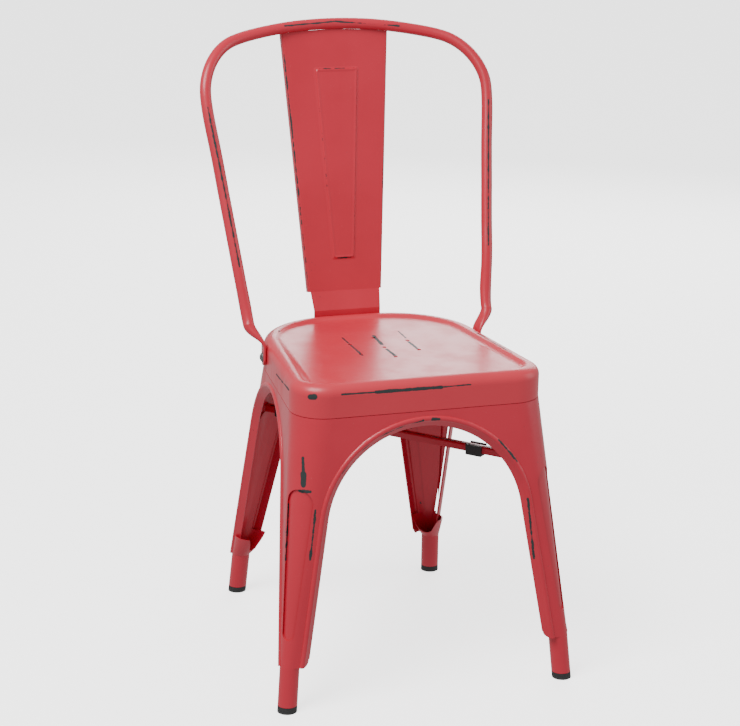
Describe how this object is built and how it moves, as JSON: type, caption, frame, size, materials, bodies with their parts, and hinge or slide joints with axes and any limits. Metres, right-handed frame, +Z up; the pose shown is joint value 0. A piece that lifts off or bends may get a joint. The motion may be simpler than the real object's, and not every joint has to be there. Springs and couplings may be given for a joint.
{
  "type": "stacking metal bistro chair",
  "caption": "Stacking sheet-steel bistro chair: dished seat, arched apron legs, tubular back hoop with a pressed splat, cross brace and rubber feet.",
  "frame": {"origin": "on the floor under the middle of the chair's outline", "axes": "+Z up, the sitter faces -Y, +X to the right as seen from the front"},
  "size_m": [0.4314, 0.4792, 0.85],
  "materials": {
    "red_paint": "satin, worn",
    "seat_paint": "satin, worn",
    "black_rubber": "matte",
    "black_plastic": "matte",
    "bolt_steel": "darkened"
  },
  "bodies": {
    "root": {"leg_front_right": "red_paint", "leg_front_left": "red_paint", "leg_rear_right": "red_paint", "leg_rear_left": "red_paint", "seat_pan": "seat_paint", "back_hoop": "red_paint", "back_splat": "red_paint", "foot_front_right": "black_rubber", "foot_front_left": "black_rubber", "foot_rear_right": "black_rubber", "foot_rear_left": "black_rubber", "hoop_bolt_right": "bolt_steel", "hoop_bolt_left": "bolt_steel", "hoop_nut_right": "bolt_steel", "hoop_nut_left": "bolt_steel", "splat_rivets": "red_paint", "cross_brace_upper": "red_paint", "cross_brace_lower": "red_paint", "bumper_front_right": "black_plastic", "bumper_front_left": "black_plastic", "bumper_rear_right": "black_plastic", "bumper_rear_left": "black_plastic"}
  },
  "joints": []
}
